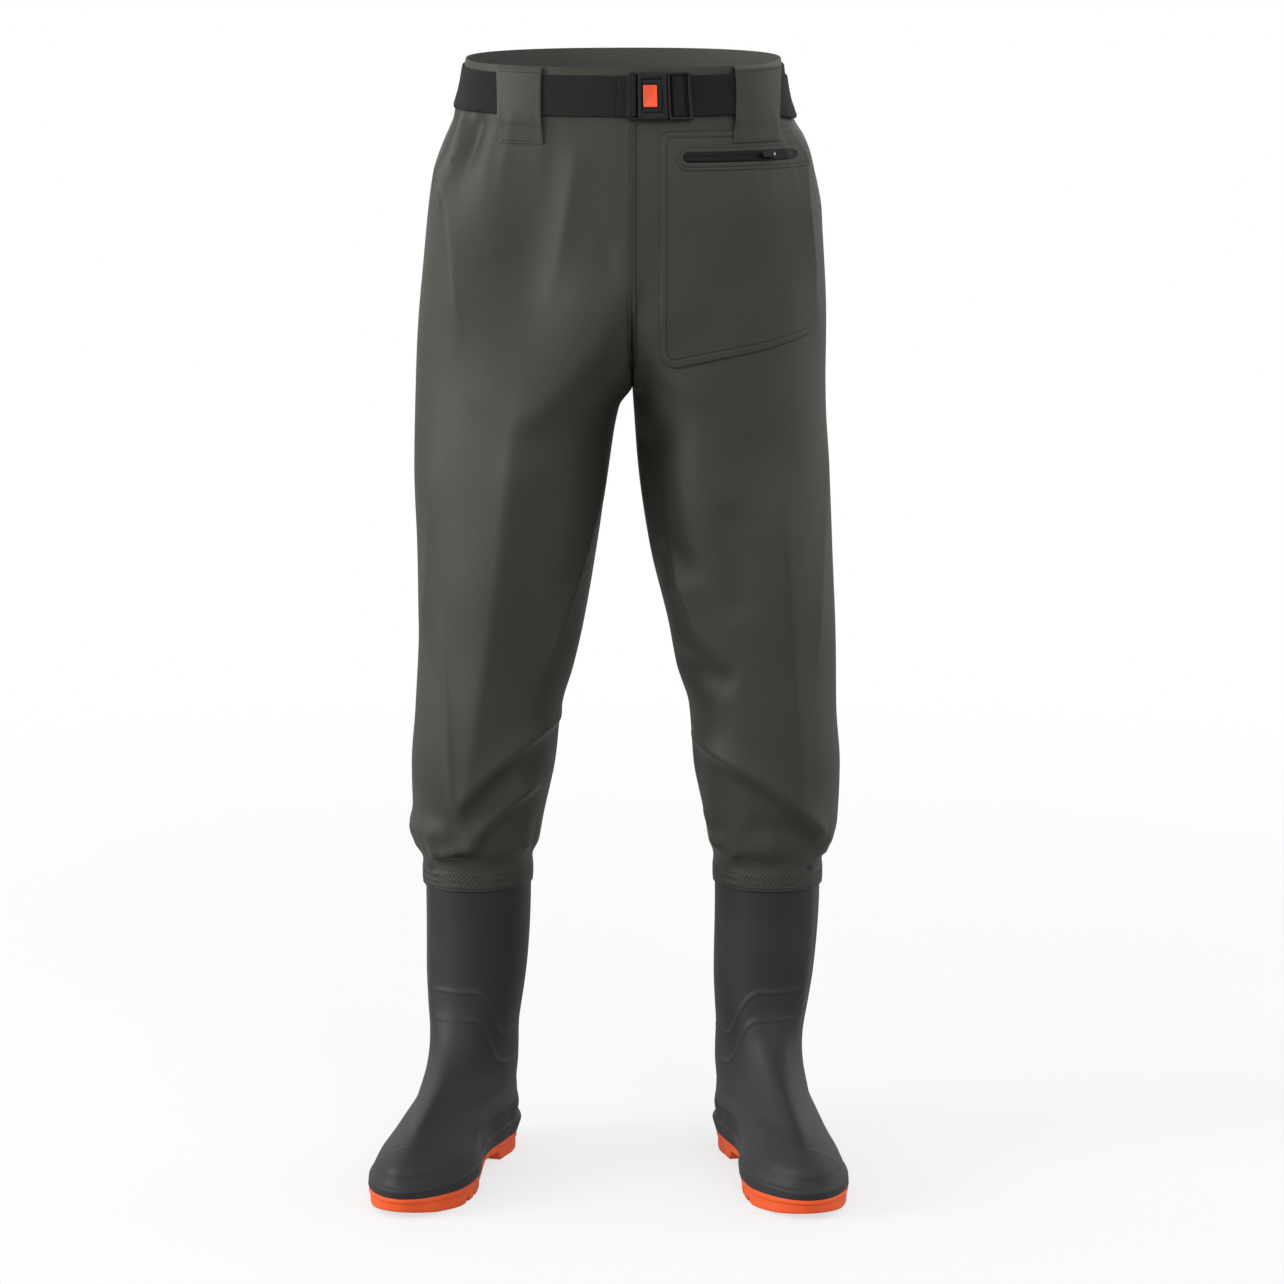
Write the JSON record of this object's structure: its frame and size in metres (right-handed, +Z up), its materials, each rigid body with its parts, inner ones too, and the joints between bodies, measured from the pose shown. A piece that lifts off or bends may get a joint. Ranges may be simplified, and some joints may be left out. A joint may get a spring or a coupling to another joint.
{
  "type": "waist wader",
  "caption": "Waist-high wader: coated-cloth trousers welded to moulded boots with orange soles, with a webbing belt, snap buckle, belt loops and a zipped front pocket.",
  "frame": {"origin": "middle of the bounding box, on the floor under the soles", "axes": "+Z up, the wearer faces -Y, the wearer's left is +X"},
  "size_m": [0.4624, 0.3541, 1.0947],
  "materials": {
    "coated_cloth": "coated woven nylon, grey olive, soft sheen",
    "webbing": "ribbed woven webbing, black",
    "buckle_plastic": "moulded, fine satin, black",
    "orange_plastic": "moulded, satin, orange",
    "boot_rubber": "injection moulded, matte, black",
    "sole_rubber": "injection moulded, matte, orange",
    "insole_felt": "pressed felt, dark grey",
    "zip_coating": "coated water-resistant tape, black",
    "slider_metal": "dark cast metal, satin"
  },
  "bodies": {
    "wader": {"trouser_half_right": "coated_cloth", "trouser_half_left": "coated_cloth", "front_seam": "coated_cloth", "back_seam": "coated_cloth", "pocket": "coated_cloth", "belt_loop_front_right": "coated_cloth", "belt_loop_front_left": "coated_cloth", "belt_loop_back_right": "coated_cloth", "belt_loop_back_left": "coated_cloth", "belt": "webbing", "belt_sewn_end": "webbing", "belt_tail": "webbing", "buckle_socket": "buckle_plastic", "buckle_tongue": "buckle_plastic", "buckle_button": "orange_plastic", "zip_tape": "zip_coating", "zip_slider": "slider_metal", "boot_upper_right": "boot_rubber", "boot_upper_left": "boot_rubber", "outsole_right": "sole_rubber", "outsole_left": "sole_rubber", "insole_right": "insole_felt", "insole_left": "insole_felt"},
    "zip_pull": {"zip_pull": "buckle_plastic"}
  },
  "joints": [
    {"name": "zip_pull_hinge", "type": "hinge", "parent": "wader", "child": "zip_pull", "pos_m": [0.15564, -0.05508, 1.00132], "axis": [-0.1799, 0.1877, 0.9656], "range_deg": [0, 150]}
  ]
}
